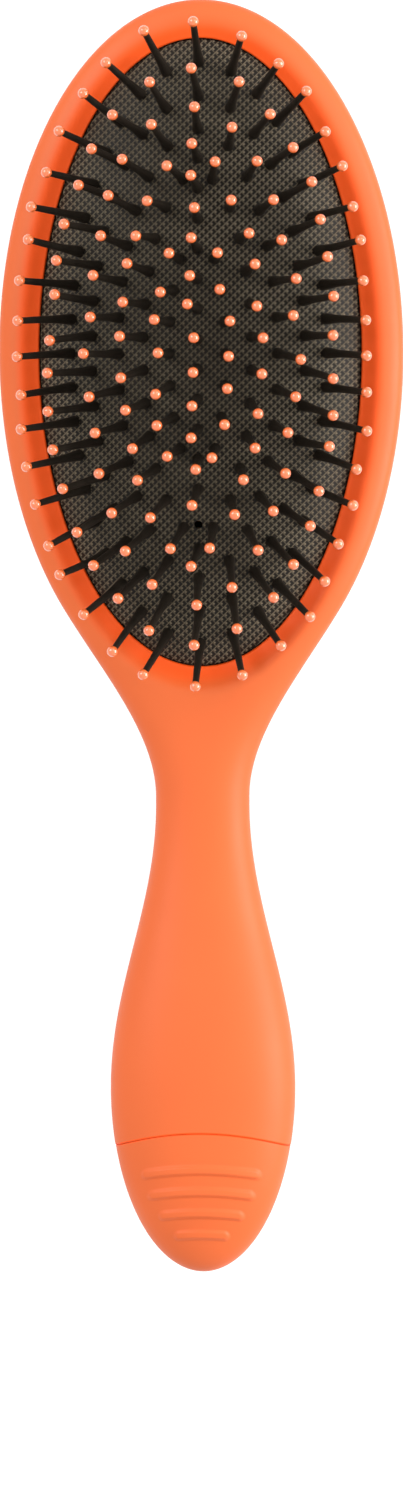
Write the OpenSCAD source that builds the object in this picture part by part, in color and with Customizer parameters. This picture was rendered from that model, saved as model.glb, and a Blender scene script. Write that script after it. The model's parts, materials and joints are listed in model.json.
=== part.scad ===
// Oval cushion detangling brush with a pull-off end cap.
// It lies on its back: the pins point up (+Z), the toe of the head points to +Y
// and the tail of the handle to -Y. Z = 0 is the surface that it rests on.

/* [Outline] */
// Length of the whole brush, toe to tail
brush_length = 228.6; // [200:0.1:250]
// Width of the oval head
head_width = 72.5; // [66:0.1:80]
// Length of the oval that the head follows
head_length = 126.2; // [118:0.1:134]
// Width of the neck, the narrowest place
neck_width = 16.8; // [15:0.1:20]
// Distance from the tail to the neck
neck_from_tail = 84.3; // [78:0.1:92]
// Length over which the neck stays at its narrowest
neck_flat = 1.3; // [0.5:0.1:3]
// Width of the handle at its widest
handle_width = 33.2; // [30:0.1:37]
// Distance from the tail to the handle's widest place
handle_widest_from_tail = 33.2; // [31:0.1:36]

/* [Depth] */
// Height of the head's widest line above the surface under the brush
head_mid_height = 8.8; // [8.2:0.1:9.4]
// Height that the head's face would reach without its opening
head_face_height = 15; // [14.4:0.1:15.8]
// Height of the neck's widest line
neck_mid_height = 8.2; // [7.8:0.1:8.8]
// Height of the neck's face
neck_face_height = 14.4; // [14:0.1:16]
// Height of the neck's back
neck_back_height = 2.2; // [1.5:0.1:3]
// Height of the handle's widest line
handle_mid_height = 9.7; // [9.2:0.1:10.2]
// Height of the handle's face
handle_face_height = 19.4; // [18.8:0.1:20.5]
// Depth that the resting flat takes off the back of the head
head_flat_depth = 0.4; // [0.2:0.05:0.6]
// Depth that the resting flat takes off the back of the handle
handle_flat_depth = 0.25; // [0.15:0.05:0.4]

/* [Cushion opening] */
// Width of the opening that the cushion fills
opening_width = 57.8; // [55:0.1:60]
// Length of the opening
opening_length = 112.4; // [109:0.1:115]
// Height of the opening's edge
opening_edge_height = 12.3; // [12:0.1:12.8]
// Radius of the hollow slope that runs from the rim down to the opening
cove_radius = 5.5; // [4.5:0.1:7]
// Blend between the outer crown of the rim and its inner slope
crown_blend = 0.42; // [0.2:0.02:0.5]
// Height of the ledge that carries the cushion's lip
ledge_height = 9.2; // [9:0.1:9.4]
// Depth of the undercut groove that holds the lip, measured outwards
groove_depth = 1.7; // [1.4:0.1:2]
// Width of the ledge inside the opening
ledge_width = 1.5; // [1:0.1:2]
// Thickness of the head's back at the bottom of its dish
back_wall = 2.8; // [2.4:0.1:3.4]

/* [Cushion] */
// Rise of the cushion's crown above the edge of the cushion
dome_rise = 9.2; // [8.4:0.1:9.8]
// Thickness of the rubber
rubber = 1.2; // [1:0.05:1.4]
// Drop from the opening's edge to the edge of the cushion
edge_drop = 0.3; // [0.2:0.05:0.6]
// Gap between the cushion's side and the opening
cushion_gap = 0.25; // [0.15:0.05:0.35]
// Thickness of the lip in the groove
lip_thickness = 1.4; // [1.2:0.05:1.6]
// Clearance above the lip and beyond its edge
lip_clearance = 0.2; // [0.1:0.05:0.3]
// Diameter of the air vent
vent_diameter = 1.4; // [1.1:0.05:1.6]

/* [Pins] */
// Length of a pin from the cushion to the centre of its ball
pin_length = 18.6; // [16:0.1:21]
// Diameter of a pin at the ball
pin_tip_diameter = 1.15; // [1.1:0.05:1.25]
// Diameter of a pin at the cushion
pin_root_diameter = 1.35; // [1.25:0.05:1.4]
// Diameter of the foot that stands on the cushion
foot_diameter = 1.9; // [1.7:0.05:2.2]
// Height of the foot's straight wall
foot_height = 0.4; // [0.3:0.05:1]
// Length of the cone from the foot to the shank
foot_taper = 5; // [3:0.1:7]
// Diameter of the head under the cushion
pin_head_diameter = 2.6; // [2.3:0.1:2.8]
// Thickness of the head under the cushion
pin_head_thickness = 0.9; // [0.7:0.05:1.1]
// Diameter of the stub inside the ball
stub_diameter = 0.8; // [0.7:0.05:0.9]
// Diameter of a ball tip
ball_diameter = 1.95; // [1.8:0.05:2.1]
// Radial clearance of a pin in its hole
pin_clearance = 0.05; // [0.02:0.01:0.08]
// Clearance of a foot and a head from the rubber
seat_clearance = 0.08; // [0.05:0.01:0.15]

/* [Pin layout] */
// Width of each ring of pins as a share of the opening's width, from the outer ring inwards
ring_width_shares = [0.789, 0.657, 0.491, 0.336, 0.176]; // [0.17:0.001:0.79]
// Length of each ring of pins as a share of the opening's length, from the outer ring inwards
ring_length_shares = [0.922, 0.815, 0.712, 0.573, 0.379]; // [0.37:0.001:0.93]
// Places in each ring
ring_counts = [40, 34, 28, 24, 16]; // [14:2:40]
// First pin of the centre row, towards the toe, as a share of the opening's length
row_start_share = 0.31; // [0.3:0.001:0.32]
// Spacing of the centre row as a share of the opening's length
row_pitch_share = 0.0477; // [0.047:0.0001:0.048]
// Pins of the centre row above the vent
row_count = 12; // [8:1:12]
// Vent, towards the handle, as a share of the opening's length
vent_share = 0.272; // [0.265:0.001:0.277]
// Last pin of the centre row, beyond the vent, as a share of the opening's length
row_last_share = 0.31; // [0.305:0.001:0.32]

/* [End cap] */
// Length of the cap in the middle of its face
cap_length = 25.7; // [24:0.1:27]
// Radius of the arched parting line
parting_radius = 47.2; // [42:0.1:60]
// Gap at the parting line
parting_gap = 0.15; // [0.1:0.01:0.25]
// Number of grip ribs on each face
rib_count = 4; // [1:1:4]
// Distance from the parting line to the first rib
rib_start = 6.75; // [6:0.05:7.5]
// Spacing of the ribs
rib_pitch = 3.95; // [3.6:0.05:4.1]
// Radius of the first rib's bow
rib_bow = 53.5; // [45:0.5:65]
// Length of each rib, across the cap
rib_lengths = [21, 18.7, 14.8, 9.4]; // [8:0.1:21.5]
// Width of a rib, along the brush
rib_width = 1.45; // [1.2:0.05:1.7]
// Height of a rib above the cap
rib_height = 0.5; // [0.3:0.05:0.7]
// Width of the socket in the handle
socket_width = 23.6; // [22:0.1:25]
// Height of the socket
socket_height = 11.6; // [11:0.1:12]
// Depth of the socket, from the middle of the parting line
socket_depth = 25; // [22:0.1:26]
// Length of the plug inside the socket
plug_reach = 10; // [9:0.1:12]
// Length of the plug inside the cap
plug_seat = 9; // [8:0.1:10]
// Wall of the hollow plug
plug_wall = 1.6; // [1.4:0.05:1.8]
// Floor of the hollow plug
plug_floor = 1.8; // [1.4:0.1:2.4]
// Clearance of the plug in the socket, all round
plug_clearance = 0.1; // [0.06:0.01:0.15]
// Clearance of the plug in the cap, all round
plug_seat_clearance = 0.03; // [0.01:0.01:0.05]
// Thickness of the friction ring's round section
ring_section = 1.5; // [1.3:0.05:1.6]
// Distance from the parting line to the friction ring
ring_offset = 5; // [4:0.1:6]
// Clearance between the friction ring and the socket
ring_clearance = 0.04; // [0.02:0.01:0.08]
// Width of the narrow hollow beyond the socket
core_width = 12; // [10:0.1:13]
// Height of the narrow hollow
core_height = 7.6; // [7:0.1:8]
// Length of the narrow hollow
core_length = 22; // [16:0.1:24]

/* [Hidden] */

orange = [0.97, 0.42, 0.16];
tip_orange = [0.96, 0.5, 0.3];
black = [0.09, 0.085, 0.08];
plug_grey = [0.75, 0.75, 0.73];

// Share of the head's half length at which the outline leaves the oval for the neck
neck_join_share = 0.714;
// Exponents of the sections: a higher one gives a flatter face with a fuller edge
face_power_share = 3.6;
back_power_share = 2.2;
handle_power_share = 2.3;
// Steepness of the rim's inner slope at the opening
cove_slope_share = 0.22;
// Share of the ellipsoid's widest section that the cushion's edge takes
dome_edge_share = 0.93;
// Sections along the body and the cap, and points round half a section
body_sections = 54;
cap_sections = 18;
half_points = 20;
// Steps used to measure along an oval
oval_steps = 180;
// Share of the way to the toe over which the sections are evenly spaced
toe_even_share = 0.45;
// Number of blends beyond which a blended edge follows its lower side alone
blend_reach_share = 12;
// How far the first and the last section stay from the tail and the toe
end_inset = 0.06;
// Overrun of a cut past the face that it opens
overrun = 1;
// Side and height of blocks that clear the whole brush
clear_size = 2 * brush_length;
clear_height = head_width;

head_a = head_width / 2;
head_b = head_length / 2;
head_at = brush_length - head_b;
head_y = head_at - brush_length / 2;
join_at = head_at - neck_join_share * head_b;
join_half = head_a * sqrt(1 - pow(neck_join_share, 2));
join_slope = head_a / head_b * neck_join_share / sqrt(1 - pow(neck_join_share, 2));
neck_top_at = neck_from_tail + neck_flat;
opening_a = opening_width / 2;
opening_b = opening_length / 2;

// Smooth step from 0 to 1
function ease(t) = (1 - cos(180 * min(1, max(0, t)))) / 2;

// Value that eases from one place along the brush to another
function between(at, at_0, value_0, at_1, value_1) =
    value_0 + (value_1 - value_0) * ease((at - at_0) / (at_1 - at_0));

// Neck curve: starts level at the neck and meets the oval's edge with its slope
function neck_curve(t, span) =
    neck_width / 2 * (1 - 3 * t * t + 2 * t * t * t)
    + join_half * (3 * t * t - 2 * t * t * t)
    + join_slope * span * (t * t * t - t * t);

// Half width of the outline at a distance from the tail
function half_width(at) =
    at < handle_widest_from_tail
        ? handle_width / 2 * sqrt(max(0, 1 - pow(1 - at / handle_widest_from_tail, 2)))
    : at < neck_from_tail
        ? between(at, handle_widest_from_tail, handle_width / 2, neck_from_tail, neck_width / 2)
    : at < neck_top_at ? neck_width / 2
    : at < join_at ? neck_curve((at - neck_top_at) / (join_at - neck_top_at), join_at - neck_top_at)
    : head_a * sqrt(max(0, 1 - pow((at - head_at) / head_b, 2)));

// A depth value along the brush, from its values at the handle, the neck and the head
function along(at, handle, neck, head) =
    at < neck_from_tail ? between(at, handle_widest_from_tail, handle, neck_from_tail, neck)
    : between(at, neck_top_at, neck, head_at - opening_b * neck_join_share, head);

function mid_height(at) = along(at, handle_mid_height, neck_mid_height, head_mid_height);
function face_height(at) = along(at, handle_face_height, neck_face_height, head_face_height);
function back_height(at) = along(at, -handle_flat_depth, neck_back_height, -head_flat_depth);
function face_power(at) = along(at, handle_power_share, handle_power_share, face_power_share);
function back_power(at) = along(at, handle_power_share, handle_power_share, back_power_share);

// How far a section lies along the rounded toe or tail, as a share of its length
function end_share(at) =
    at > head_at ? (at - head_at) / head_b
    : at < handle_widest_from_tail ? 1 - at / handle_widest_from_tail : 0;

// Fullness of a section at a share of its half width, 1 in the middle and 0 at the edge
function fullness(share, end, power) =
    pow(max(0, 1 - pow(share * share * (1 - end * end) + end * end, power / 2)), 1 / power);

// Distance outwards from the opening's edge
function past_opening(x, y) =
    let (r = norm([x / opening_a, y / opening_b]))
    r < 0.5 ? -opening_a / 2
    : (r - 1) * r / norm([x / pow(opening_a, 2), y / pow(opening_b, 2)]);

// Height of the slope between the opening and the rim's crown
function cove_height(d) =
    opening_edge_height + cove_slope_share * max(d, -overrun)
    + pow(max(d, 0), 2) / (2 * cove_radius);

// Lower of two values, rounded where they meet
function smooth_min(a, b) = b - a > blend_reach_share * crown_blend ? a
    : -crown_blend * ln(exp(-a / crown_blend) + exp(-b / crown_blend));

// Height of the face at a place, and of the back
function face_at(at, share) =
    let (
        mid = mid_height(at),
        outer = mid + (face_height(at) - mid) * fullness(share, end_share(at), face_power(at)),
        d = past_opening(share * half_width(at), at - head_at)
    )
    max(mid, smooth_min(outer, cove_height(d)));
function back_at(at, share) =
    let (mid = mid_height(at))
    mid - (mid - back_height(at)) * fullness(share, end_share(at), back_power(at));

// One section: the face from +X to -X, then the back from -X to +X
function section(at, lift) = [
    for (i = [0:2 * half_points - 1])
        let (
            turn = 180 * i / half_points,
            share = cos(turn),
            z = i == 0 || i == half_points ? mid_height(at)
                : i < half_points ? face_at(at, share) + lift : back_at(at, share) - lift
        )
        [share * half_width(at), at - brush_length / 2, z]
];

// Solid skin through sections at the given places, with a point at an end that closes
module skin(places, lift = 0) {
    n = 2 * half_points;
    last = len(places) - 1;
    points = [for (at = places) each section(at, lift)];
    polyhedron(
        points = points,
        faces = [
            [for (i = [n - 1:-1:0]) i],
            for (k = [0:last - 1], i = [0:n - 1])
                let (a = k * n + i, b = k * n + (i + 1) % n)
                each [[a, b, a + n], [b, b + n, a + n]],
            [for (i = [0:n - 1]) last * n + i]
        ],
        convexity = 4
    );
}

// Places along the brush, closer together towards an end that is round
function places_to_toe(start, stop, count) = [
    for (i = [0:count]) start + (stop - start) * (toe_even_share * i / count
        + (1 - toe_even_share) * sin(90 * i / count))
];
function places_from_tail(start, stop, count) = [
    for (i = [0:count]) start + (stop - start) * (1 - cos(90 * i / count))
];
body_places = places_to_toe(cap_length - 4 * overrun, brush_length - end_inset, body_sections);
cap_places = places_from_tail(end_inset, cap_length + overrun, cap_sections);

// Upright oval block
module oval_block(a, b, low, high) {
    translate([0, head_y, low]) linear_extrude(height = high - low) scale([a, b]) circle(r = 1, $fn = 120);
}

// Ellipsoid centred on the head's axis
module ellipsoid(a, b, c, z) {
    translate([0, head_y, z]) scale([a, b, c]) sphere(r = 1, $fn = 96);
}

// Everything on the tail's side of the arched parting line
parting_y = cap_length - brush_length / 2;
module tail_side(gap) {
    translate([0, parting_y - parting_radius, -overrun])
        cylinder(r = parting_radius - gap, h = clear_height, $fn = 180);
}

// Everything under the surface that the brush rests on
module under_the_rest() {
    translate([-clear_size / 2, -clear_size / 2, -clear_height])
        cube([clear_size, clear_size, clear_height]);
}

// Round-ended bar along Y, centred on the handle's mid height
module slot(width, height, low_y, high_y) {
    r = height / 2;
    translate([0, high_y, handle_mid_height]) rotate([90, 0, 0]) {
        translate([-(width / 2 - r), -r, 0]) cube([width - height, height, high_y - low_y]);
        for (side = [-1, 1])
            translate([side * (width / 2 - r), 0, 0])
                cylinder(r = r, h = high_y - low_y, $fn = 48);
    }
}

dish_centre = ledge_height;
dish_a = opening_a - ledge_width;
dish_b = opening_b - ledge_width;
groove_top = ledge_height + lip_thickness + lip_clearance;

module brush_body() color(orange) difference() {
    skin(body_places);
    under_the_rest();
    tail_side(0);
    oval_block(opening_a, opening_b, ledge_height + overrun, clear_height);
    oval_block(opening_a + groove_depth, opening_b + groove_depth, ledge_height, groove_top);
    intersection() {
        ellipsoid(dish_a, dish_b, dish_centre - back_wall, dish_centre);
        oval_block(opening_a, opening_b, 0, ledge_height + overrun / 2);
    }
    slot(socket_width, socket_height, parting_y - 3 * overrun, parting_y + socket_depth);
    slot(core_width, core_height, parting_y + socket_depth - overrun,
        parting_y + socket_depth + core_length);
}

// Outer and inner skins of the cushion are ellipsoids with one centre
cushion_a = opening_a - cushion_gap;
cushion_b = opening_b - cushion_gap;
cushion_edge = opening_edge_height - edge_drop;
dome_a = cushion_a / dome_edge_share;
dome_b = cushion_b / dome_edge_share;
dome_sink_share = sqrt(1 - pow(dome_edge_share, 2));
dome_c = dome_rise / (1 - dome_sink_share);
dome_z = cushion_edge - dome_c * dome_sink_share;
inner_share = sqrt(1 - pow((cushion_edge - dome_z) / (dome_c - rubber), 2));
inner_a = (dome_a - rubber) * inner_share;
inner_b = (dome_b - rubber) * inner_share;

// Height of the dome above a place of the cushion
function dome_height(p) =
    dome_z + dome_c * sqrt(1 - pow(p[0] / dome_a, 2) - pow(p[1] / dome_b, 2));

// Puts its children on the dome at a place, standing square to the rubber
module on_dome(p) {
    z = dome_height(p);
    square_to = [p[0] / pow(dome_a, 2), p[1] / pow(dome_b, 2), (z - dome_z) / pow(dome_c, 2)];
    translate([p[0], p[1] + head_y, z])
        rotate([0, 0, atan2(square_to[1], square_to[0])])
            rotate([0, acos(square_to[2] / norm(square_to)), 0])
                children();
}

// Distance along an oval against its angle, then places spaced evenly along it
function oval_point(a, b, turn) = [a * sin(turn), b * cos(turn)];
function oval_table(a, b) = [
    for (i = 0, s = 0; i <= oval_steps;
        s = s + norm(oval_point(a, b, 360 * (i + 1) / oval_steps)
            - oval_point(a, b, 360 * i / oval_steps)), i = i + 1)
        [s, 360 * i / oval_steps]
];
function oval_places(a, b, count, shift, table) = [
    for (i = [0:count - 1])
        oval_point(a, b, lookup((i + shift) / count * table[oval_steps][0], table))
];

// The fourth ring is turned by half a place. The fifth leaves out its two places on
// the centre line, where the centre row passes.
function ring_places(ring) =
    let (
        a = opening_a * ring_width_shares[ring],
        b = opening_b * ring_length_shares[ring],
        count = ring_counts[ring],
        all = oval_places(a, b, count, ring == 3 ? 1 / 2 : 0, oval_table(a, b))
    )
    ring < 4 ? all : [for (i = [0:count - 1]) if (i % (count / 2) != 0) all[i]];
row_places = concat(
    [for (i = [0:row_count - 1]) [0, opening_length * (row_start_share - row_pitch_share * i)]],
    [[0, -opening_length * row_last_share]]
);
pin_places = concat([for (ring = [0:4]) ring_places(ring)], [row_places]);

module cushion() color(black) difference() {
    union() {
        intersection() {
            ellipsoid(dome_a, dome_b, dome_c, dome_z);
            oval_block(cushion_a, cushion_b, ledge_height, clear_height);
        }
        oval_block(opening_a + groove_depth - lip_clearance, opening_b + groove_depth - lip_clearance,
            ledge_height, ledge_height + lip_thickness);
    }
    intersection() {
        ellipsoid(dome_a - rubber, dome_b - rubber, dome_c - rubber, dome_z);
        oval_block(inner_a, inner_b, ledge_height - overrun, clear_height);
    }
    for (row = pin_places, p = row)
        on_dome(p) translate([0, 0, -2 * rubber])
            cylinder(r = pin_root_diameter / 2 + pin_clearance, h = 4 * rubber, $fn = 24);
    on_dome([0, -opening_length * vent_share]) translate([0, 0, -2 * rubber])
        cylinder(r = vent_diameter / 2, h = 4 * rubber, $fn = 24);
}

// One pin, standing at the origin with the rubber's outer face at Z = 0
pin_ball_drop = sqrt(pow(ball_diameter / 2, 2) - pow(pin_tip_diameter / 2, 2));
module pin() {
    under = -rubber - seat_clearance;
    cone_top = seat_clearance + foot_height + foot_taper;
    rotate_extrude($fn = 16) polygon([
        [0, under - pin_head_thickness],
        [pin_head_diameter / 2, under - pin_head_thickness],
        [pin_head_diameter / 2, under],
        [pin_root_diameter / 2, under],
        [pin_root_diameter / 2, seat_clearance],
        [foot_diameter / 2, seat_clearance],
        [foot_diameter / 2, seat_clearance + foot_height],
        [pin_root_diameter / 2, cone_top],
        [pin_tip_diameter / 2, pin_length - pin_ball_drop],
        [stub_diameter / 2, pin_length - pin_ball_drop],
        [stub_diameter / 2, pin_length],
        [0, pin_length]
    ]);
}

// One ball tip, on the stub of a pin
module ball_tip() {
    translate([0, 0, pin_length]) difference() {
        sphere(r = ball_diameter / 2, $fn = 16);
        translate([0, 0, -ball_diameter]) cylinder(r = stub_diameter / 2, h = ball_diameter, $fn = 16);
        translate([-ball_diameter, -ball_diameter, -2 * ball_diameter - pin_ball_drop])
            cube(2 * ball_diameter);
    }
}

module pins(row) {
    color(black) for (p = pin_places[row]) on_dome(p) pin();
}

module tips(row) {
    color(tip_orange) for (p = pin_places[row]) on_dome(p) ball_tip();
}

// One grip rib seen from the front: a round-ended band that bows towards the parting line
module rib_band(index) {
    r = rib_bow - rib_pitch * index;
    half = (rib_lengths[index] - rib_width) / 2;
    translate([0, parting_y - rib_start - rib_bow, 0]) {
        intersection() {
            difference() {
                cylinder(r = r + rib_width / 2, h = clear_height, $fn = 180);
                translate([0, 0, -overrun])
                    cylinder(r = r - rib_width / 2, h = clear_height + 2 * overrun, $fn = 180);
            }
            translate([-half, 0, -overrun])
                cube([2 * half, 2 * r, clear_height + 2 * overrun]);
        }
        for (side = [-1, 1])
            translate([side * half, sqrt(r * r - half * half), 0])
                cylinder(r = rib_width / 2, h = clear_height, $fn = 24);
    }
}

module end_cap() color(orange) difference() {
    union() {
        intersection() {
            skin(cap_places);
            tail_side(parting_gap);
        }
        intersection() {
            skin(cap_places, rib_height);
            translate([0, 0, handle_mid_height - clear_height / 2])
                for (index = [0:rib_count - 1]) rib_band(index);
        }
    }
    under_the_rest();
    slot(plug_outer_width + 2 * plug_seat_clearance, plug_outer_height + 2 * plug_seat_clearance,
        parting_y - plug_seat - plug_seat_clearance, parting_y + overrun);
}

plug_outer_width = socket_width - 2 * plug_clearance;
plug_outer_height = socket_height - 2 * plug_clearance;
ring_y = parting_y + ring_offset;
ring_seat = socket_height / 2 - ring_clearance - ring_section / 2;

// Round-section ring that follows the plug's round-ended outline
module ring_path(section) {
    straight = (socket_width - socket_height) / 2;
    translate([0, ring_y, handle_mid_height]) rotate([90, 0, 0]) {
        for (side = [-1, 1]) {
            intersection() {
                translate([side * straight, 0, 0]) rotate_extrude($fn = 48)
                    translate([ring_seat, 0]) circle(r = section / 2, $fn = 24);
                translate([side > 0 ? straight : -straight - socket_height, -socket_height, -section])
                    cube([socket_height, 2 * socket_height, 2 * section]);
            }
            translate([-straight, side * ring_seat, 0]) rotate([0, 90, 0])
                cylinder(r = section / 2, h = 2 * straight, $fn = 24);
        }
    }
}

module cap_plug() color(plug_grey) difference() {
    slot(plug_outer_width, plug_outer_height, parting_y - plug_seat, parting_y + plug_reach);
    slot(plug_outer_width - 2 * plug_wall, plug_outer_height - 2 * plug_wall,
        parting_y - plug_seat + plug_floor, parting_y + plug_reach + overrun);
    ring_path(ring_section + 2 * ring_clearance);
}

module cap_friction_ring() color(black) ring_path(ring_section);

brush_body();
cushion();
pins(0);  // pins_ring_1
pins(1);  // pins_ring_2
pins(2);  // pins_ring_3
pins(3);  // pins_ring_4
pins(4);  // pins_ring_5
pins(5);  // pins_centre_row
tips(0);  // tips_ring_1
tips(1);  // tips_ring_2
tips(2);  // tips_ring_3
tips(3);  // tips_ring_4
tips(4);  // tips_ring_5
tips(5);  // tips_centre_row
end_cap();
cap_plug();
cap_friction_ring();
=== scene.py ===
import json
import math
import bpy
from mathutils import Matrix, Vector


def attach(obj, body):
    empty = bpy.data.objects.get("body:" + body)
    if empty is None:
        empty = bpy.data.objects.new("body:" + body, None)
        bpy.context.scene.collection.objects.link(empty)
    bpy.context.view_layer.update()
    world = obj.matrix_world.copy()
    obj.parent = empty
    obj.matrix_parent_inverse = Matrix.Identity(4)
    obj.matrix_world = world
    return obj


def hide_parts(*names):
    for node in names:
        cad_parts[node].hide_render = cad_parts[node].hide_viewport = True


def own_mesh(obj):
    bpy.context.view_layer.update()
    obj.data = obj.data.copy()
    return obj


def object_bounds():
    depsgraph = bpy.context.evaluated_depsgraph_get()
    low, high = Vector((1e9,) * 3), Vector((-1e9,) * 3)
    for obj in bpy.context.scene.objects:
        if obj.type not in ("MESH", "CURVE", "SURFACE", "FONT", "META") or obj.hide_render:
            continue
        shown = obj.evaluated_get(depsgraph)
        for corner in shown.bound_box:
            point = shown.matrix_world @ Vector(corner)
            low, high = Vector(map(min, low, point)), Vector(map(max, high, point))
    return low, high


bl_info = {
    "name": "Detangling Brush",
    "version": (1, 0, 0),
    "blender": (4, 5, 0),
    "location": "View3D > Sidebar > Brush",
    "description": "Dresses the frame of a cushion brush in its pieces, and sets its stage",
    "category": "Object",
}

import bmesh
import bpy
import numpy as np
from bpy.props import FloatProperty, FloatVectorProperty, IntProperty, PointerProperty
from bpy.types import Operator, Panel, PropertyGroup
from mathutils import Euler, Matrix, Vector

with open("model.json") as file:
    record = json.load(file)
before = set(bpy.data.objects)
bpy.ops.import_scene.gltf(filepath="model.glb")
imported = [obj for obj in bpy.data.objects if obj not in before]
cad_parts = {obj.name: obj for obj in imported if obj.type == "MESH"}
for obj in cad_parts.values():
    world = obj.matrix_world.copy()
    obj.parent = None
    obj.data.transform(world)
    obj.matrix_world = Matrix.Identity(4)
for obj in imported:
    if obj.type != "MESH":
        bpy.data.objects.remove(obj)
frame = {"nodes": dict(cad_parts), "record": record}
frame_box = [list(corner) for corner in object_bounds()]

# The frame lies on its back: +X across the head, +Y to the toe, +Z up through the pins.
HALF_LENGTH = frame_box[1][1]
HEAD_WIDTH = 2 * frame_box[1][0]

# Evenly spaced places on each ring of pins. The innermost ring leaves out the two at its ends,
# where the centre row stands.
RING_PLACES = {"ring_1": 40, "ring_2": 34, "ring_3": 28, "ring_4": 24, "ring_5": 16}
SHIFTED_RING, OPEN_RING = "ring_4", "ring_5"

# First rows of points beside the parting line, in radii of its rounded edge.
SEAM_ROWS = np.array([0, 0.15, 0.35, 0.6, 1.0])

# Keeps divisions by a length from failing at zero.
TINY = 1e-9


# Sizes and colours that a user may change.


def numbers(**kind):
    """Makes the function that describes one kind of number, or a row of them for a tuple."""

    def described(name, description, default):
        settings = dict(name=name, description=description, default=default, **kind)
        if isinstance(default, tuple):
            return FloatVectorProperty(size=len(default), **settings)
        return FloatProperty(**settings)

    return described


number, share = numbers(), numbers(subtype="FACTOR")
length = numbers(unit="LENGTH", precision=5)
colour = numbers(subtype="COLOR", min=0.0, max=1.0)
angle, power = numbers(subtype="ANGLE"), numbers(unit="POWER")


class BRUSH_PG_outline(PropertyGroup):
    """Outline of the brush in plan, and its depth"""

    head_width: length("Head width", "Width of the oval head", HEAD_WIDTH)
    head_length: length("Head length", "Length of the oval that the head follows", 0.1262)
    neck_width: length("Neck width", "Width of the narrowest place", 0.0168)
    neck_from_tail: length("Neck from tail", "Distance from the tail to the neck", 0.0843)
    neck_flat: length("Neck flat", "Length over which the neck stays narrowest", 0.0013)
    handle_width: length("Handle width", "Width of the handle at its widest", 0.0332)
    widest_from_tail: length("Widest from tail", "Distance from tail to widest place", 0.0332)
    neck_join: share("Neck join", "Share of the head's half length where the neck begins", 0.714)
    # Each row below is for the handle, the neck and the head.
    mid_heights: length("Mid heights", "Height of the widest line", (0.0097, 0.0082, 0.0088))
    face_heights: length("Face heights", "Height of the face", (0.0194, 0.0144, 0.015))
    back_heights: length(
        "Back heights", "Height of the back, before the resting flats", (-0.00025, 0.0022, -0.0004)
    )
    face_powers: number("Face powers", "Exponent of the face's section", (2.3, 2.3, 3.6))
    back_powers: number("Back powers", "Exponent of the back's section", (2.3, 2.3, 2.2))


class BRUSH_PG_opening(PropertyGroup):
    """Rim round the cushion, and the hollow under it"""

    width: length("Opening width", "Width of the opening that the cushion fills", 0.0578)
    length: length("Opening length", "Length of the opening", 0.1124)
    edge_height: length("Edge height", "Height of the opening's edge", 0.0123)
    edge_round: length("Edge round", "Radius that breaks the opening's edge", 0.0004)
    cove_radius: length("Cove radius", "Radius of the slope from rim to opening", 0.0055)
    cove_slope: share("Cove slope", "Steepness of the slope at the opening", 0.22)
    crown_blend: length("Crown blend", "Blend between the crown and its inner slope", 0.00042)
    ledge_height: length("Ledge height", "Height of the ledge under the cushion", 0.0092)
    groove_top: length("Groove top", "Height of the top of the groove round the opening", 0.0108)
    groove_depth: length("Groove depth", "Depth of the groove", 0.0017)
    ledge_width: length("Ledge width", "Width of the ledge inside the opening", 0.0015)
    dish_depth: length("Dish depth", "Depth of the dish under the ledge", 0.0064)


class BRUSH_PG_handle_end(PropertyGroup):
    """Parting line, cap, ribs and the hollow in the handle"""

    cap_length: length("Cap length", "Length of the cap in the middle of its face", 0.0257)
    parting_radius: length("Parting radius", "Radius of the arched parting line", 0.0472)
    parting_gap: length("Parting gap", "Gap at the parting line", 0.00005)
    seam_round: length("Seam round", "Radius that breaks the parting line's edges", 0.00016)
    cap_inset: length("Cap inset", "How far the cap's edge stands in from the handle's", 0.00007)
    rib_start: length("Rib start", "Distance from the parting line to the first rib", 0.0066)
    rib_pitch: length("Rib pitch", "Spacing of the ribs", 0.00395)
    rib_bow: length("Rib bow", "Radius of the first rib's bow", 0.0535)
    rib_lengths: length("Rib lengths", "Length of each rib", (0.021, 0.0187, 0.0148, 0.0094))
    rib_width: length("Rib width", "Width of a rib at its foot", 0.0023)
    rib_flank: length("Rib flank", "Width of a rib's sloping flanks", 0.0008)
    rib_fall: share("Rib fall", "Share of its height that a rib loses to the parting line", 0.45)
    rib_height: length("Rib height", "Height of a rib", 0.0006)
    socket_width: length("Socket width", "Width of the socket in the handle", 0.0236)
    socket_height: length("Socket height", "Height of the socket", 0.0116)
    socket_depth: length("Socket depth", "Depth of the socket from the parting line", 0.025)
    core_width: length("Core width", "Width of the narrow hollow beyond the socket", 0.012)
    core_height: length("Core height", "Height of the narrow hollow", 0.0076)
    core_length: length("Core length", "Length of the narrow hollow", 0.022)
    mouth_chamfer: length("Mouth chamfer", "Chamfer round the mouth of the socket", 0.0003)
    seat_width: length("Seat width", "Width of the plug's seat in the cap", 0.02346)
    seat_height: length("Seat height", "Height of the plug's seat in the cap", 0.01146)
    seat_depth: length("Seat depth", "Depth of the plug's seat in the cap", 0.00903)


class BRUSH_PG_cushion(PropertyGroup):
    """Rubber cushion"""

    gap: length("Gap", "Gap between the cushion's side and the opening", 0.00025)
    edge_height: length("Edge height", "Height of the cushion's edge", 0.012)
    rise: length("Rise", "Rise of the crown above the cushion's edge", 0.0092)
    edge_share: share("Edge share", "Share of the ellipsoid's widest section at the edge", 0.93)
    rubber: length("Rubber", "Thickness of the rubber", 0.0012)
    lip_top: length("Lip top", "Height of the top of the lip in the groove", 0.0106)
    lip_reach: length("Lip reach", "Reach of the lip beyond the opening", 0.0015)
    vent_diameter: length("Vent diameter", "Diameter of the air vent", 0.0015)
    vent_offset: length("Vent offset", "Distance of the vent from the head's centre", 0.03057)
    texture_pitch: length("Texture pitch", "Spacing of the moulded diamonds", 0.001)


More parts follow.
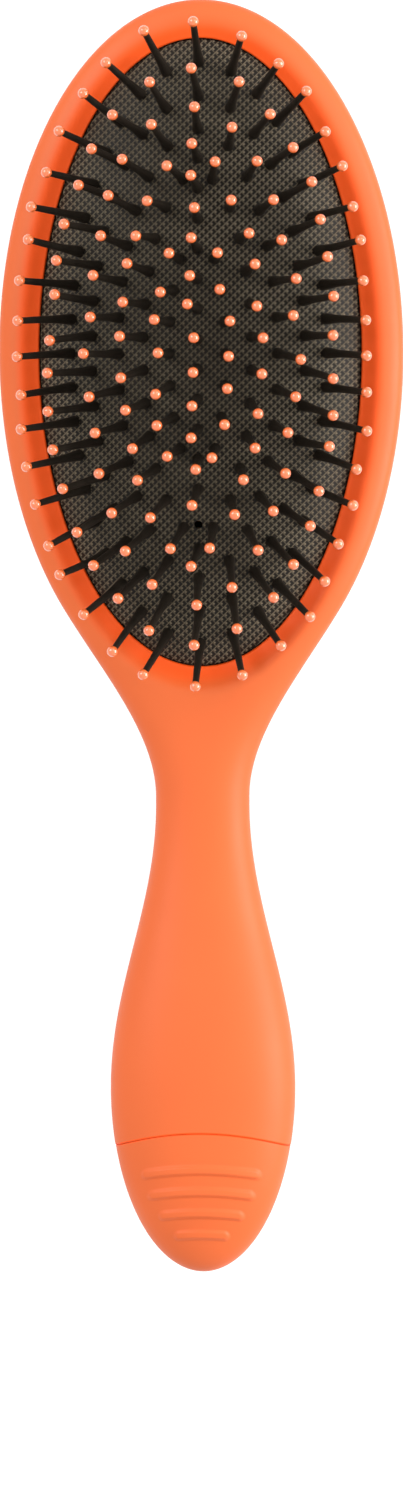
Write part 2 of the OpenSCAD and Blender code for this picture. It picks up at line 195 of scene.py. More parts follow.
class BRUSH_PG_pins(PropertyGroup):
    """Pins and ball tips"""

    length: length("Pin length", "Length from the cushion to the centre of the ball", 0.0186)
    tip_diameter: length("Tip diameter", "Diameter of a pin at the ball", 0.00115)
    root_diameter: length("Root diameter", "Diameter of a pin at the cushion", 0.0014)
    collar_diameter: length("Collar diameter", "Diameter of the foot on the cushion", 0.0021)
    collar_height: length("Collar height", "Height of the foot's straight wall", 0.0004)
    collar_taper: length("Collar taper", "Length over which the foot narrows", 0.0065)
    head_diameter: length("Head diameter", "Diameter of the head under the cushion", 0.0026)
    head_thickness: length("Head thickness", "Thickness of that head", 0.0009)
    ball_diameter: length("Ball diameter", "Diameter of a ball tip", 0.00195)
    lean: length("Lean", "Typical lean of a pin's tip in the soft rubber", 0.00045)
    lean_limit: length("Lean limit", "Largest lean of a pin's tip", 0.0009)
    lean_seed: IntProperty(name="Lean seed", description="Seed of the pins' leans", default=7)
    # The rings run from the outermost inwards.
    ring_widths: length(
        "Ring widths", "Width of each ring of pins", (0.0456, 0.038, 0.0284, 0.0194, 0.0102)
    )
    ring_lengths: length(
        "Ring lengths", "Length of each ring of pins", (0.1036, 0.0916, 0.08, 0.0644, 0.0426)
    )
    row_start: length("Row start", "First pin of the centre row, from the centre", 0.0348)
    row_pitch: length("Row pitch", "Spacing of the centre row", 0.00536)
    row_count: IntProperty(name="Row count", description="Pins up to the vent", default=12)
    row_last: length("Row last", "Last pin of the centre row, beyond the vent", 0.0348)


class BRUSH_PG_finish(PropertyGroup):
    """Colours of the finishes"""

    coat: colour("Coat", "Soft orange coat of the body and the cap", (0.755, 0.139, 0.034))
    # Painted shade and painted light: a deeper red-orange put on the rim's inner slope and beside
    # the parting line in place of the shade there, with its red raised to stand in for light that
    # the slope lacks.
    coat_deep: colour("Coat, deep", "Coat of the rim's inner slope", (0.985, 0.102, 0.009))
    # Width of the painted shade on each side of the parting line, for the shade in its crease.
    seam_width: length("Seam width", "Deeper coat on each side of the parting line", 0.00017)
    # Oval inside which the rim's inner slope gets the painted shade.
    slope_width: length("Slope width", "Width of the oval of deeper coat", 0.065)
    slope_length: length("Slope length", "Length of the oval of deeper coat", 0.1182)
    slope_fade: share("Slope fade", "Share of that oval over which its edge fades", 0.035)
    tip: colour("Tip", "Ball tips", (0.86, 0.155, 0.032))
    nylon: colour("Nylon", "Pins", (0.014, 0.0105, 0.0075))
    # Painted shade and painted highlight: the cushion's grooves are painted dark and its ridges and
    # diamond tops pale, for how light falls on the weave.
    rubber_low: colour("Rubber, low", "Grooves of the cushion", (0.012, 0.0095, 0.0065))
    rubber_high: colour("Rubber, high", "Ridges and diamonds of the cushion", (0.2, 0.16, 0.105))
    plug: colour("Plug", "Plug of the cap", (0.5, 0.5, 0.48))
    seal: colour("Seal", "Friction ring", (0.015, 0.015, 0.015))


class BRUSH_PG_stage(PropertyGroup):
    """Floor, lamps and camera"""

    floor_size: length("Floor size", "Side of the floor", 6.0)
    floor_gap: length("Floor gap", "Gap that keeps the floor clear of the brush's flats", 0.0001)
    floor_tone: share("Floor tone", "Grey of the floor, as it is lit", 0.55)
    floor_glow: share("Floor glow", "White that is added to the floor as it is seen", 0.65)
    camera_distance: length("Camera distance", "Distance of the camera from the brush", 2.0)
    lean_right: angle("Lean right", "Lean of the line of sight to +X", math.radians(3.3))
    lean_up: angle("Lean up", "Lean of the line of sight to +Y", math.radians(3.35))
    view_length: length("View length", "Length that the picture takes in", 0.2694)
    view_side: length("View side", "Picture's centre across the brush", -0.00015)
    view_centre: length("View centre", "Picture's centre along the brush", -0.02028)
    roll: angle("Roll", "Turn of the picture about the line of sight", math.radians(-0.155))
    aim_height: length("Aim height", "Height of the point that the camera looks at", 0.009)
    key_power: power("Key power", "Power of the key lamp", 2.6)
    side_power: power("Side power", "Power of the low lamp on the right", 18.4)
    fill_power: power("Fill power", "Power of the fill lamp", 9.6)
    top_power: power("Top power", "Power of the wide lamp overhead", 1.0)
    ambient: number("Ambient", "Strength of the white surround", 0.86)


# The brush's outside as formulas.


def ease(t):
    """Smooth step from 0 to 1."""
    return (1 - np.cos(np.pi * np.clip(t, 0, 1))) / 2


def parting_centre(end):
    """Place along the brush of the centre of the arched parting line."""
    return end.cap_length - HALF_LENGTH - end.parting_radius


class Outside:
    """Half width of the brush, and the heights of its face and back, at any place in plan."""

    # Reach of the blend at the crown, in its own widths, beyond which it makes no difference.
    blend_reach = 12
    # Softness of the edges of the flats that the brush rests on.
    flat_blend = 0.00006
    # Share of the opening inside which the distance from its edge stays the same.
    nearest = 0.5

    def __init__(self, scene):
        o, self.rim = scene.brush_outline, scene.brush_opening
        self.outline = o
        self.head_a, self.head_b = o.head_width / 2, o.head_length / 2
        self.head_y = HALF_LENGTH - self.head_b
        self.head_at = 2 * HALF_LENGTH - self.head_b
        self.join_at = self.head_at - o.neck_join * self.head_b
        rest = math.sqrt(1 - o.neck_join**2)
        self.join_half = self.head_a * rest
        self.join_slope = self.head_a / self.head_b * o.neck_join / rest
        self.neck_top_at = o.neck_from_tail + o.neck_flat
        self.opening_a, self.opening_b = self.rim.width / 2, self.rim.length / 2
        self.head_full_at = self.head_at - self.opening_b * o.neck_join

    def half_width(self, y):
        """Half width of the outline."""
        o, at = self.outline, y + HALF_LENGTH
        tail = 1 - (1 - at / o.widest_from_tail) ** 2
        tail = np.sqrt(np.clip(tail, 0, 1)) * o.handle_width / 2
        t = (at - o.widest_from_tail) / (o.neck_from_tail - o.widest_from_tail)
        handle = (o.handle_width + (o.neck_width - o.handle_width) * ease(t)) / 2
        span = self.join_at - self.neck_top_at
        t = np.clip((at - self.neck_top_at) / span, 0, 1)
        neck = (
            o.neck_width / 2 * (1 - 3 * t**2 + 2 * t**3)
            + self.join_half * (3 * t**2 - 2 * t**3)
            + self.join_slope * span * (t**3 - t**2)
        )
        head = 1 - ((at - self.head_at) / self.head_b) ** 2
        head = np.sqrt(np.clip(head, 0, 1)) * self.head_a
        places = [at < o.widest_from_tail, at < o.neck_from_tail, at < self.join_at]
        return np.select(places, [tail, handle, neck], head)

    def along(self, y, values):
        """A value that eases from the handle's to the neck's to the head's."""
        o, at = self.outline, y + HALF_LENGTH
        handle, neck, head = values
        low = ease((at - o.widest_from_tail) / (o.neck_from_tail - o.widest_from_tail))
        high = ease((at - self.neck_top_at) / (self.head_full_at - self.neck_top_at))
        below = at < o.neck_from_tail
        return np.where(below, handle + (neck - handle) * low, neck + (head - neck) * high)

    def fullness(self, x, y, powers):
        """Fullness of the section: 1 in the middle and 0 at the outline."""
        at = y + HALF_LENGTH
        across = np.clip(np.abs(x) / np.maximum(self.half_width(y), TINY), 0, 1)
        toe = (at - self.head_at) / self.head_b
        tail = 1 - at / self.outline.widest_from_tail
        end = np.clip(np.maximum(np.maximum(toe, tail), 0), 0, 1)
        power = self.along(y, powers)
        radial = across**2 * (1 - end**2) + end**2
        return np.clip(1 - radial ** (power / 2), 0, 1) ** (1 / power)

    def past_opening(self, x, y):
        """Distance outwards from the opening's edge."""
        u, v = x / self.opening_a, (y - self.head_y) / self.opening_b
        r = np.maximum(np.hypot(u, v), self.nearest)
        steepness = np.hypot(u / self.opening_a, v / self.opening_b)
        return (r - 1) * r / np.maximum(steepness, TINY)

    def face(self, x, y):
        """Height of the face, with the slope from the rim's crown down to the opening."""
        mid = self.along(y, self.outline.mid_heights)
        top = self.along(y, self.outline.face_heights)
        outer = mid + (top - mid) * self.fullness(x, y, self.outline.face_powers)
        d = self.past_opening(x, y)
        rim, blend = self.rim, self.rim.crown_blend
        cove = rim.edge_height + rim.cove_slope * d + np.maximum(d, 0) ** 2 / (2 * rim.cove_radius)
        apart = np.clip((cove - outer) / blend, -self.blend_reach, self.blend_reach)
        blended = outer - blend * np.log1p(np.exp(-apart))
        return np.maximum(mid, np.where(cove - outer > self.blend_reach * blend, outer, blended))

    def back(self, x, y):
        """Height of the back, flattened where it rests."""
        mid = self.along(y, self.outline.mid_heights)
        low = self.along(y, self.outline.back_heights)
        z = mid - (mid - low) * self.fullness(x, y, self.outline.back_powers)
        k = self.flat_blend
        return k * np.logaddexp(0, z / k) - k * math.log(2) * np.exp(-np.abs(z) / k)

    def side_of(self, curves, reach, halvings=40):
        """How far out curves across the brush, y = curves(x), meet the outline."""
        low, high = np.zeros_like(reach), reach
        for _ in range(halvings):
            x = (low + high) / 2
            inside = self.half_width(curves(x)) > x
            low, high = np.where(inside, x, low), np.where(inside, high, x)
        return (low + high) / 2


# Mesh helpers.


def points(*coordinates):
    """A grid of points from its coordinates."""
    return np.stack(np.broadcast_arrays(*coordinates), -1)


def oval(a, b, centre_y, turn, z):
    """Points of an oval that lies across the brush's long axis."""
    return points(a * np.sin(turn), centre_y - b * np.cos(turn), z)


def smooth(mesh, sharp=40.0):
    """Smooth shading, with an edge kept sharp where faces meet at more than an angle in degrees."""
    mesh.polygons.foreach_set("use_smooth", [True] * len(mesh.polygons))
    mesh.set_sharp_from_angle(angle=math.radians(sharp))


class Sheets:
    """Collects grids of points that become one closed mesh when their shared edges merge."""

    merge_distance = 1e-7

    def __init__(self):
        self.points, self.quads, self.count = [], [], 0

    def add(self, grid, closed=False):
        """A grid of points, (rows, columns, 3). Closed joins its last column to its first."""
        rows, columns = grid.shape[:2]
        index = self.count + np.arange(rows * columns).reshape(rows, columns)
        if closed:
            index = np.concatenate([index, index[:, :1]], axis=1)
        corners = [index[:-1, :-1], index[:-1, 1:], index[1:, 1:], index[1:, :-1]]
        self.quads.append(np.stack(corners, -1).reshape(-1, 4))
        self.points.append(grid.reshape(-1, 3))
        self.count += rows * columns

    def add_both(self, grid):
        """A grid and its mirror image in X."""
        self.add(grid)
        self.add((grid * (-1, 1, 1))[:, ::-1])

    def make(self, name, sharp=40.0):
        """The object, with its doubled points merged and its faces turned outwards."""
        corners, faces = np.concatenate(self.points), np.concatenate(self.quads)
        mesh = bpy.data.meshes.new(name)
        mesh.from_pydata(corners.tolist(), [], faces.tolist())
        bm = bmesh.new()
        bm.from_mesh(mesh)
        bmesh.ops.remove_doubles(bm, verts=bm.verts, dist=self.merge_distance)
        bmesh.ops.dissolve_degenerate(bm, dist=self.merge_distance, edges=bm.edges)
        bmesh.ops.recalc_face_normals(bm, faces=bm.faces)
        bm.to_mesh(mesh)
        bm.free()
        smooth(mesh, sharp)
        piece = bpy.data.objects.new(name, mesh)
        bpy.context.scene.collection.objects.link(piece)
        return piece


def cut(piece, tool):
    """Takes tool out of piece and deletes it."""
    change = piece.modifiers.new("cut", "BOOLEAN")
    change.operation, change.solver, change.object = "DIFFERENCE", "EXACT", tool
    depsgraph = bpy.context.evaluated_depsgraph_get()
    mesh = bpy.data.meshes.new_from_object(piece.evaluated_get(depsgraph))
    piece.modifiers.clear()
    piece.data = mesh
    bpy.data.objects.remove(tool)
    smooth(mesh)


def towards_outline(count):
    """Shares of the way from the middle to the outline, closer together at the outline."""
    return 1 - (1 - np.linspace(0, 1, count + 1)) ** 2


def rays_to(loop, mid):
    """Directions from the handle's axis, at a height, to the points of a loop."""
    way = loop[:, [0, 2]] - (0, mid)
    return way / np.linalg.norm(way, axis=1)[:, None]


def slot_outline(directions, width, height):
    """Where rays from the centre of a round-ended slot meet its outline: (x, z) for each ray."""
    straight, radius = (width - height) / 2, height / 2
    c, s = directions[:, 0], directions[:, 1]
    flat = radius / np.maximum(np.abs(s), TINY)
    reach = straight * np.abs(c)
    curved = reach + np.sqrt(np.maximum(reach**2 - straight**2 + radius**2, 0))
    r = np.where(flat * np.abs(c) <= straight, flat, curved)
    return directions * r[:, None]


def rim_loop(face_row, back_row):
    """The outline of an end, as a loop through its face from +X to -X and back underneath."""
    flip = (-1, 1, 1)
    face = [face_row[::-1], face_row[1:] * flip]
    return np.concatenate([*face, (back_row * flip)[-2::-1], back_row[1:-1]])


def break_edge(grid, from_edge, radius, mid, stand_back=0.0):
    """Rounds off a grid near its first row: pulls it in towards its own axis."""
    d = np.clip(radius - from_edge, 0, radius)[:, None]
    inset = radius - np.sqrt(radius**2 - d**2) + stand_back
    x, z = grid[..., 0], grid[..., 2] - mid
    keep = 1 - inset / np.maximum(np.hypot(x, z), radius)
    return points(x * keep, grid[..., 1], mid + z * keep)


def dress(piece, material, body, node):
    """Gives a piece its material and its body, and hides the node that it stands for."""
    piece.data.materials.clear()
    piece.data.materials.append(material)
    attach(piece, body)
    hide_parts(node)


# Pieces.


class BRUSH_OT_body(Operator):
    """Body: head with its rim, neck and hollow handle, as one smooth moulding"""

    bl_idname = "brush.body"
    bl_label = "Body"

    # Faces from the middle to the outline on the face and the back, and rows along each part.
    across, across_back = 44, 26
    handle_rows, head_rows = 150, 210
    # Place of the first even row behind the parting line, in radii of its rounded edge.
    seam_clear = 2.5
    # The rows' arch ends, and their tilt begins, at these fractions of the way to the head.
    arch_parts, tilt_parts = 4, 3
    # Share of even spacing among the rows at the head's neck end, and on the spine of its back.
    even_side, even_spine = 0.4, 0.5
    edge_bends = np.radians([0, 20, 45, 70, 90])
    dish_bends = np.radians(np.linspace(0, 90, 12)[1:])

    def execute(self, context):
        scene = context.scene
        self.form, self.rim, self.end = Outside(scene), scene.brush_opening, scene.brush_handle_end
        form, rim, end = self.form, self.rim, self.end
        self.ring_a, self.ring_b = form.opening_a + rim.edge_round, form.opening_b + rim.edge_round
        self.parting_y = end.cap_length - HALF_LENGTH
        mid = scene.brush_outline.mid_heights[0]

        inner, outer, bow, edge, spine = self.rays()
        face = self.patch(inner, outer, bow, self.across, form.face)
        back = self.patch(spine, outer, bow, self.across_back, form.back)
        face[:, -1, 2] = back[:, -1, 2]
        face = break_edge(face, edge, end.seam_round, mid)
        back = break_edge(back, edge, end.seam_round, mid)

        sheets = Sheets()
        sheets.add_both(face)
        sheets.add_both(back)
        self.add_opening(sheets, face[self.handle_rows :, 0])
        self.add_socket(sheets, rim_loop(face[0], back[0]), mid)
        piece = sheets.make("body_shell")
        dress(piece, soft_coat(scene), "brush", "brush_body")
        return {"FINISHED"}

    def sag(self, x):
        """How far the parting line falls behind its own middle."""
        r = self.end.parting_radius
        return r - np.sqrt(r**2 - x**2)

    def rays(self):
        """Ends of the lines across the body: rows of the handle first, then rays round the head.

        Also their bow, their distance from the parting line, and their ends on the spine."""
        form, end = self.form, self.end
        ring_low = form.head_y - self.ring_b
        tilt_end = ring_low - (form.head_y - form.head_b)

        first = self.parting_y + self.seam_clear * end.seam_round
        rest = np.linspace(first, ring_low, self.handle_rows + 1 - len(SEAM_ROWS))
        start = np.concatenate([self.parting_y + end.seam_round * SEAM_ROWS, rest])
        span = ring_low - self.parting_y
        arch = 1 - ease((start - self.parting_y) / span * self.arch_parts)
        tilt = tilt_end * np.clip((start - ring_low) / span * self.tilt_parts + 1, 0, 1) ** 2

        def line_y(x):
            return start - self.sag(x) * arch - tilt

        side = form.side_of(line_y, np.full_like(start, form.head_a))
        turn = np.linspace(0, np.pi, self.head_rows + 1)[1:]
        quarter = np.minimum(turn, np.pi / 2)
        climb = (1 - self.even_side) * (1 - np.cos(quarter)) + self.even_side * quarter * 2 / np.pi
        climb = np.where(turn < np.pi / 2, climb, 1 - np.cos(turn))
        head_side_y = form.head_y - form.head_b + form.head_b * climb
        head_side = form.half_width(head_side_y)
        head_side[-1] = 0

        ring = points(self.ring_a * np.sin(turn), form.head_y - self.ring_b * np.cos(turn))
        inner = np.concatenate([points(0, start), ring])
        inner[-1, 0] = 0
        outer = np.concatenate([points(side, line_y(side)), points(head_side, head_side_y)])
        spine_top = form.head_y + form.opening_b - form.opening_a
        even = self.even_spine
        up = (1 - even) * (1 - np.cos(turn)) / 2 + even * turn / np.pi
        spine = points(0, np.concatenate([start, ring_low + (spine_top - ring_low) * up]))
        bow = np.concatenate([np.ones_like(start), 1 - ease(turn / (np.pi / 4))])
        self.arch = np.concatenate([arch, np.zeros_like(turn)])
        edge = np.concatenate([start - self.parting_y, np.ones_like(turn)])
        return inner, outer, bow, edge, spine

    def patch(self, inner, outer, bow, count, height):
        """A grid of points from the inner ends to the outer ends, at the height of the surface."""
        t = towards_outline(count)[None, :]
        x = inner[:, :1] + (outer[:, :1] - inner[:, :1]) * t
        arch = self.arch[:, None]
        sag, sag_out = self.sag(x) * arch, self.sag(outer[:, :1]) * arch
        fall = outer[:, 1:] + sag_out - inner[:, 1:]
        y = inner[:, 1:] + fall * (t + (t**2 - t) * bow[:, None]) - sag
        return points(x, y, height(x, y))

    def add_opening(self, sheets, ring):
        """Rounded edge, groove, ledge and dish, from the ring of points that the rim ends on."""
        form, rim = self.form, self.rim
        turn = np.linspace(0, np.pi, self.head_rows + 1)
        ring_z = np.concatenate([ring[:, 2], ring[-2:0:-1, 2]])
        turn = np.concatenate([turn, 2 * np.pi - turn[-2:0:-1]])

        def row(offset, z):
            return oval(form.opening_a + offset, form.opening_b + offset, form.head_y, turn, z)

        rows = []
        for bend in self.edge_bends:
            drop = rim.edge_round * (1 - math.cos(bend))
            rows.append(row(rim.edge_round * (1 - math.sin(bend)), ring_z - drop))
        rows[0][:, 0] = np.round(rows[0][:, 0], 9)
        for offset, z in (
            (0, rim.groove_top),
            (rim.groove_depth, rim.groove_top),
            (rim.groove_depth, rim.ledge_height),
            (-rim.ledge_width, rim.ledge_height),
        ):
            rows.append(row(offset, z))
        dish_a, dish_b = form.opening_a - rim.ledge_width, form.opening_b - rim.ledge_width
        for bend in self.dish_bends:
            close, z = math.cos(bend), rim.ledge_height - rim.dish_depth * math.sin(bend)
            rows.append(oval(dish_a * close, dish_b * close, form.head_y, turn, z))
        rows[-1][:] = (0, form.head_y, rim.ledge_height - rim.dish_depth)
        sheets.add(np.array(rows), closed=True)

    def add_socket(self, sheets, loop, mid):
        """End face on the parting arc, socket and narrow core."""
        end = self.end
        way = rays_to(loop, mid)
        bevel = end.mouth_chamfer
        mouth = slot_outline(way, end.socket_width + 2 * bevel, end.socket_height + 2 * bevel)
        socket = slot_outline(way, end.socket_width, end.socket_height)
        core = slot_outline(way, end.core_width, end.core_height)
        floor_y = self.parting_y + end.socket_depth
        core_y = floor_y + end.core_length

        def arc(x):
            return parting_centre(end) + np.sqrt(end.parting_radius**2 - x**2)

        rows = [loop] + [
            points(ring[:, 0], y, ring[:, 1] + mid)
            for ring, y in (
                (mouth, arc(mouth[:, 0])),
                (socket, arc(socket[:, 0]) + bevel),
                (socket, floor_y),
                (core, floor_y),
                (core, core_y),
                (0 * core, core_y),
            )
        ]
        sheets.add(np.array(rows), closed=True)


class BRUSH_OT_cap(Operator):
    """End cap: rounded tail with soft grip ribs on both faces"""

    bl_idname = "brush.cap"
    bl_label = "End cap"

    # Faces from the middle to the outline, rows to the tail, and extra rows near its tip.
    across, rows, tip_rows = 64, 220, 12
    # How much closer the rows stand together towards the tail.
    crowding = 0.35
    # Length from the tail that the extra rows fill, and first row behind the rounded edge.
    tip_length, seam_clear = 0.0004, 2
    # Half width that the search for the outline starts from, as a share of the handle's width.
    search = 0.55

    def execute(self, context):
        scene = context.scene
        form, end = Outside(scene), scene.brush_handle_end
        mid = scene.brush_outline.mid_heights[0]
        radius = end.parting_radius - end.parting_gap
        arc_y = parting_centre(end)
        reach = end.cap_length - end.parting_gap

        t = np.linspace(0, 1, self.rows + 1)[1:]
        spaced = (1 + self.crowding) * t - self.crowding * t**2
        first = self.seam_clear * end.seam_round
        tip = self.tip_length * np.linspace(0, 1, self.tip_rows)[1:-1] ** 2
        depth = [end.seam_round * SEAM_ROWS, first + (reach - first) * spaced, reach - tip]
        depth = np.sort(np.concatenate(depth))

        def arc(x, depth=depth):
            return arc_y + np.sqrt((radius - depth) ** 2 - x**2)

        search = scene.brush_outline.handle_width * self.search
        side = form.side_of(arc, np.full_like(depth, search))
        side[-1] = 0

        x = side[:, None] * towards_outline(self.across)[None, :]
        y = arc(x, depth[:, None])
        bump = self.ribs(end, x, y)
        face, back = form.face(x, y) + bump, form.back(x, y) - bump
        face[:, -1] = back[:, -1] = form.along(y[:, -1], scene.brush_outline.mid_heights)
        back = np.maximum(back, 0)
        face = break_edge(points(x, y, face), depth, end.seam_round, mid, end.cap_inset)
        back = break_edge(points(x, y, back), depth, end.seam_round, mid, end.cap_inset)

        sheets = Sheets()
        sheets.add_both(face)
        sheets.add_both(back)
        loop = rim_loop(face[0], back[0])
        seat = slot_outline(rays_to(loop, mid), end.seat_width, end.seat_height)
        floor_y = end.cap_length - HALF_LENGTH - end.seat_depth
        seat_rows = [
            loop,
            points(seat[:, 0], arc(seat[:, 0], 0), seat[:, 1] + mid),
            points(seat[:, 0], floor_y, seat[:, 1] + mid),
            points(0 * seat[:, 0], floor_y, mid),
        ]
        sheets.add(np.array(seat_rows), closed=True)
        piece = sheets.make("cap_shell")
        dress(piece, soft_coat(scene), "cap", "end_cap")
        return {"FINISHED"}

    def ribs(self, end, x, y):
        """Height of the grip ribs: soft round-ended bars that bow towards the parting line."""
        height = 0
        bow_y = end.cap_length - HALF_LENGTH - end.rib_start - end.rib_bow
        from_centre = np.hypot(x, y - bow_y)
        for index, rib_length in enumerate(end.rib_lengths):
            half = (rib_length - end.rib_width / 2) / 2
            beside = from_centre - (end.rib_bow - end.rib_pitch * index)
            off = np.hypot(np.maximum(np.abs(x) - half, 0), beside)
            inside = end.rib_width / 2 - off
            ramp = 1 - end.rib_fall * (0.5 + beside / end.rib_width)
            height = height + end.rib_height * ease(inside / end.rib_flank) * ramp
        return height


class Dome:
    """The cushion's outer surface."""

    def __init__(self, scene):
        c, rim = scene.brush_cushion, scene.brush_opening
        self.centre_y = Outside(scene).head_y
        self.edge_a, self.edge_b = rim.width / 2 - c.gap, rim.length / 2 - c.gap
        self.a, self.b = self.edge_a / c.edge_share, self.edge_b / c.edge_share
        sunk = math.sqrt(1 - c.edge_share**2)
        self.c = c.rise / (1 - sunk)
        self.z = c.edge_height - self.c * sunk

    def height(self, x, y):
        """Height of the dome at a place from its centre."""
        return self.z + self.c * np.sqrt(1 - (x / self.a) ** 2 - (y / self.b) ** 2)

    def stand(self, x, y):
        """Foot and square axes of a thing that stands on the dome at a place."""
        z = self.height(x, y)
        up = np.array([x / self.a**2, y / self.b**2, (z - self.z) / self.c**2])
        up /= np.linalg.norm(up)
        side = np.cross((0, 1, 0), up)
        side /= np.linalg.norm(side)
        return np.array([x, y + self.centre_y, z]), side, np.cross(up, side), up


class BRUSH_OT_cushion(Operator):
    """Rubber cushion: domed skin with its lip, its vent and its moulded diamonds"""

    bl_idname = "brush.cushion"
    bl_label = "Cushion"

    # Faces round the cushion and the vent, and rows on the skin's outside and inside.
    turns, vent_turns = 240, 32
    rows, inner_rows = 56, 18
    edge_bends = np.radians([30, 60, 90])

    def execute(self, context):
        scene = context.scene
        c, dome = scene.brush_cushion, Dome(scene)
        skin = Sheets()
        skin.add(self.skin(c, scene.brush_opening, dome), closed=True)
        piece = skin.make("cushion_skin")
        cut(piece, self.drill(c, dome))
        dress(piece, moulded_rubber(scene), "brush", "cushion")
        keep = 1 - press_travel() / mean_rise(scene)
        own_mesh(piece)
        return {"FINISHED"}

    def skin(self, c, rim, dome):
        """Rows of the skin: crown, rounded edge, lip in the groove, and back up inside."""
        turn = np.linspace(0, 2 * np.pi, self.turns, endpoint=False)
        rows = []

        def row(a, b, z):
            rows.append(oval(a, b, dome.centre_y, turn, z))

        for s in np.linspace(0, 1, self.rows)[:-1]:
            z = dome.z + dome.c * math.sqrt(1 - (c.edge_share * s) ** 2)
            row(dome.edge_a * s, dome.edge_b * s, z)
        for bend in self.edge_bends:
            back, drop = c.gap * (1 - math.sin(bend)), c.gap * (1 - math.cos(bend))
            row(dome.edge_a - back, dome.edge_b - back, c.edge_height - drop)
        row(dome.edge_a, dome.edge_b, c.lip_top)
        lip_a, lip_b = rim.width / 2 + c.lip_reach, rim.length / 2 + c.lip_reach
        row(lip_a, lip_b, c.lip_top)
        row(lip_a, lip_b, rim.ledge_height)
        inner_c = dome.c - c.rubber
        inner = math.sqrt(1 - ((c.edge_height - dome.z) / inner_c) ** 2)
        inner_a, inner_b = (dome.a - c.rubber) * inner, (dome.b - c.rubber) * inner
        row(inner_a, inner_b, rim.ledge_height)
        for s in np.linspace(1, 0, self.inner_rows):
            z = dome.z + inner_c * math.sqrt(1 - (inner * s) ** 2)
            row(inner_a * s, inner_b * s, z)
        return np.array(rows)

    def drill(self, c, dome):
        """A closed tube through the rubber, square to the dome, that cuts the vent."""
        foot, side, front, up = dome.stand(0.0, -c.vent_offset)
        turn = np.linspace(0, 2 * np.pi, self.vent_turns, endpoint=False)[:, None]
        ring = (side * np.cos(turn) + front * np.sin(turn)) * c.vent_diameter / 2
        reach = 2 * c.rubber * up
        low, high = foot - reach, foot + reach
        tube = Sheets()
        tube.add(np.array([low + 0 * ring, low + ring, high + ring, high + 0 * ring]), closed=True)
        return tube.make("drill")


def press_travel():
    """How far the centre row of pins sinks, from the frame's record."""
    joints = frame["record"]["behaviour"]["joints"]
    return next(joint for joint in joints if joint["name"] == "cushion_press")["range_m"][1]


def mean_rise(scene):
    """Mean height of the dome under the centre row, above the cushion's edge."""
    dome = Dome(scene)
    heights = [dome.height(x, y) for x, y in pin_places(scene)["centre_row"]]
    return sum(heights) / len(heights) - scene.brush_cushion.edge_height


def pin_places(scene, steps=721):
    """Places of the pins from the head's centre, evenly spaced along each ring's oval."""
    p = scene.brush_pins
    found = {}
    for ring, (name, count) in enumerate(RING_PLACES.items()):
        a, b = p.ring_widths[ring] / 2, p.ring_lengths[ring] / 2
        turn = np.linspace(0, 2 * np.pi, steps)
        line = np.stack([a * np.sin(turn), b * np.cos(turn)], -1)
        gaps = np.linalg.norm(np.diff(line, axis=0), axis=1)
        run = np.concatenate([[0], np.cumsum(gaps)])
        step = np.arange(count) + (0.5 if name == SHIFTED_RING else 0.0)
        at = np.interp(step / count * run[-1], run, turn)
        if name == OPEN_RING:
            at = at[np.arange(count) % (count // 2) != 0]
        found[name] = [(a * math.sin(t), b * math.cos(t)) for t in at]
    row = [p.row_start - p.row_pitch * i for i in range(p.row_count)] + [-p.row_last]
    found["centre_row"] = [(0.0, y) for y in row]
    return found


def leans(scene):
    """A small lean for each pin, because the soft rubber lets each stand a little differently."""
    p = scene.brush_pins
    draw = np.random.default_rng(p.lean_seed)
    found = {}
    for name, places in pin_places(scene).items():
        lean = draw.normal(0, p.lean, (len(places), 2))
        size = np.linalg.norm(lean, axis=1)[:, None]
        found[name] = lean * np.minimum(1, p.lean_limit / np.maximum(size, TINY))
    return found


def standing_pins(scene, heights, bow=1.5):
    """The name of each group of pins, with what each pin of it needs.

    That is the points of its bent centre line at some heights, and its three axes."""
    p, dome, lean = scene.brush_pins, Dome(scene), leans(scene)
    bent = np.clip(heights / p.length, 0, None)[:, None] ** bow
    for name, places in pin_places(scene).items():
        pins = []
        for place, (aside, ahead) in zip(places, lean[name]):
            foot, side, front, up = dome.stand(*place)
            centres = foot + heights[:, None] * up + bent * (aside * side + ahead * front)
            pins.append((centres, side, front, up))
        yield name, pins


